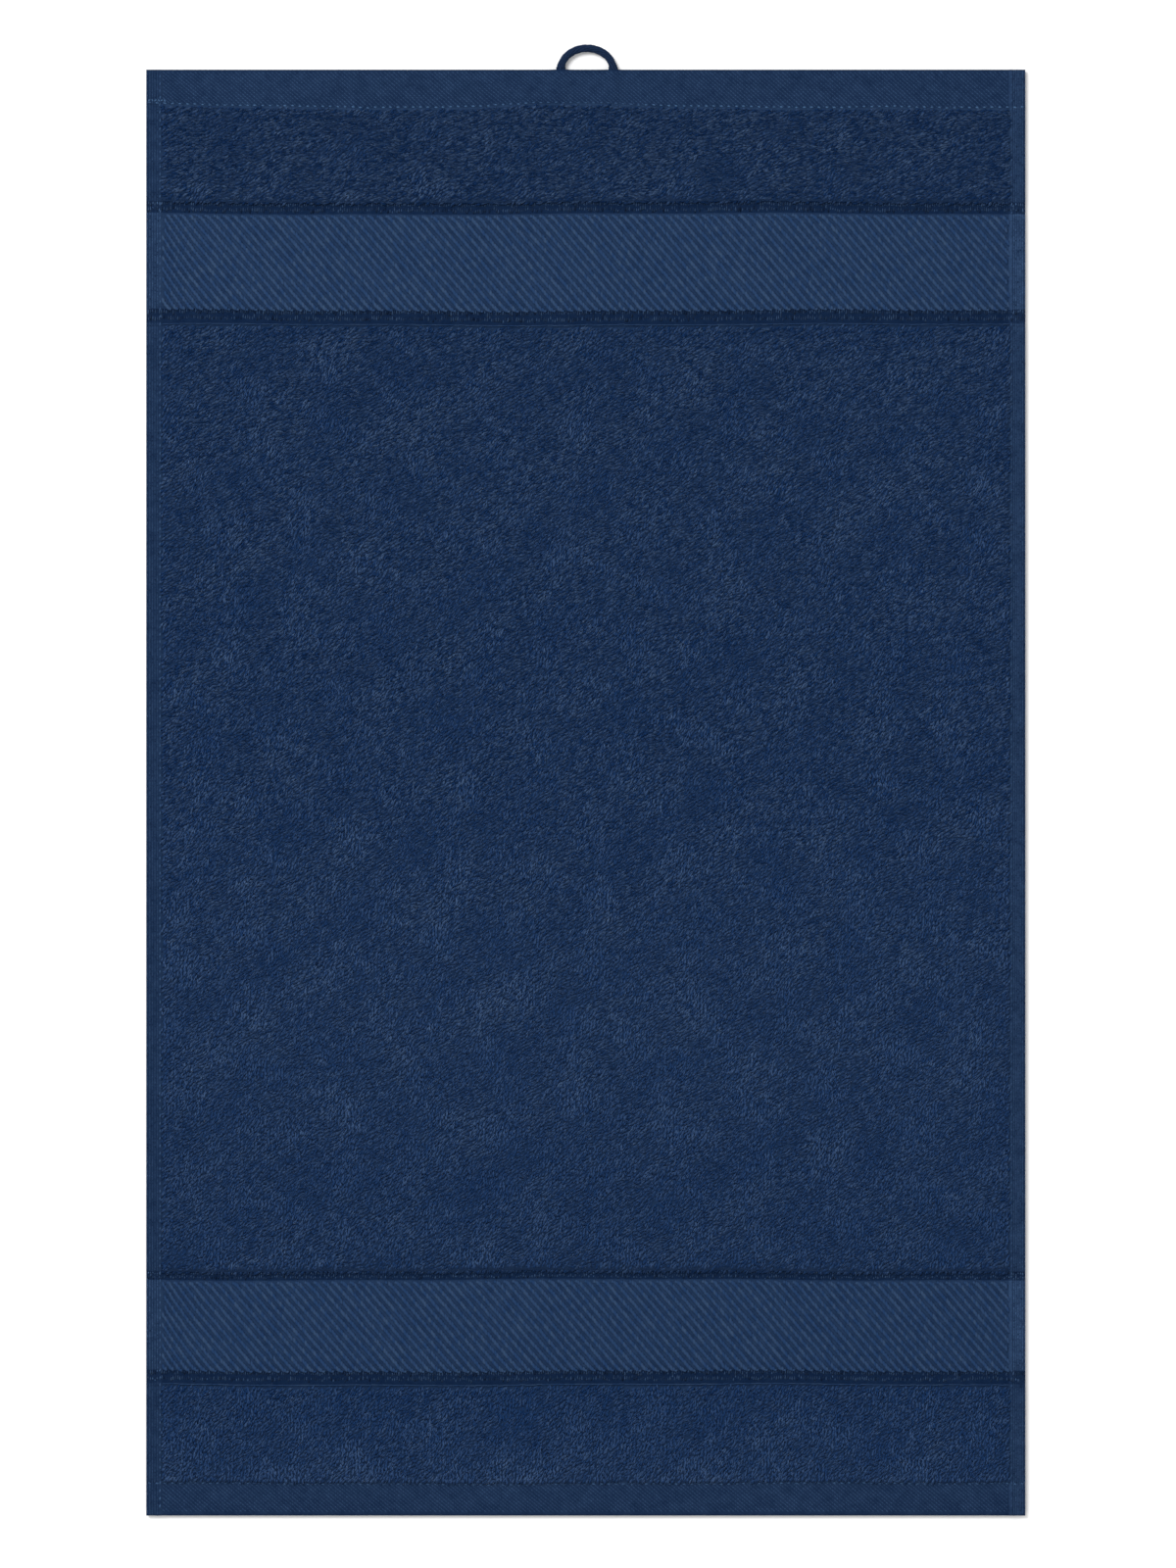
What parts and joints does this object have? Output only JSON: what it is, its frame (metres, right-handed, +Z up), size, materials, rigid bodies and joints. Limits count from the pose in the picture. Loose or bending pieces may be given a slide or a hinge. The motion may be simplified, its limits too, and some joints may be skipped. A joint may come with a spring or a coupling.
{
  "type": "hand towel",
  "caption": "Dark navy terry hand towel lying flat, with twill-woven borders, turned hems and a short cord loop at its top edge to hang it by.",
  "frame": {"origin": "middle of the whole outline, the loop included, on the surface that the towel lies on", "axes": "+X across the towel to its right as seen from above, +Y along it towards the hanging loop, +Z up from the surface"},
  "size_m": [0.304, 0.5087, 0.0036],
  "materials": {
    "towel": "matt cotton terry",
    "cord": "matt braided cotton cord"
  },
  "bodies": {
    "root": {"towel_cloth": "towel", "hanging_loop": "cord"}
  },
  "joints": []
}
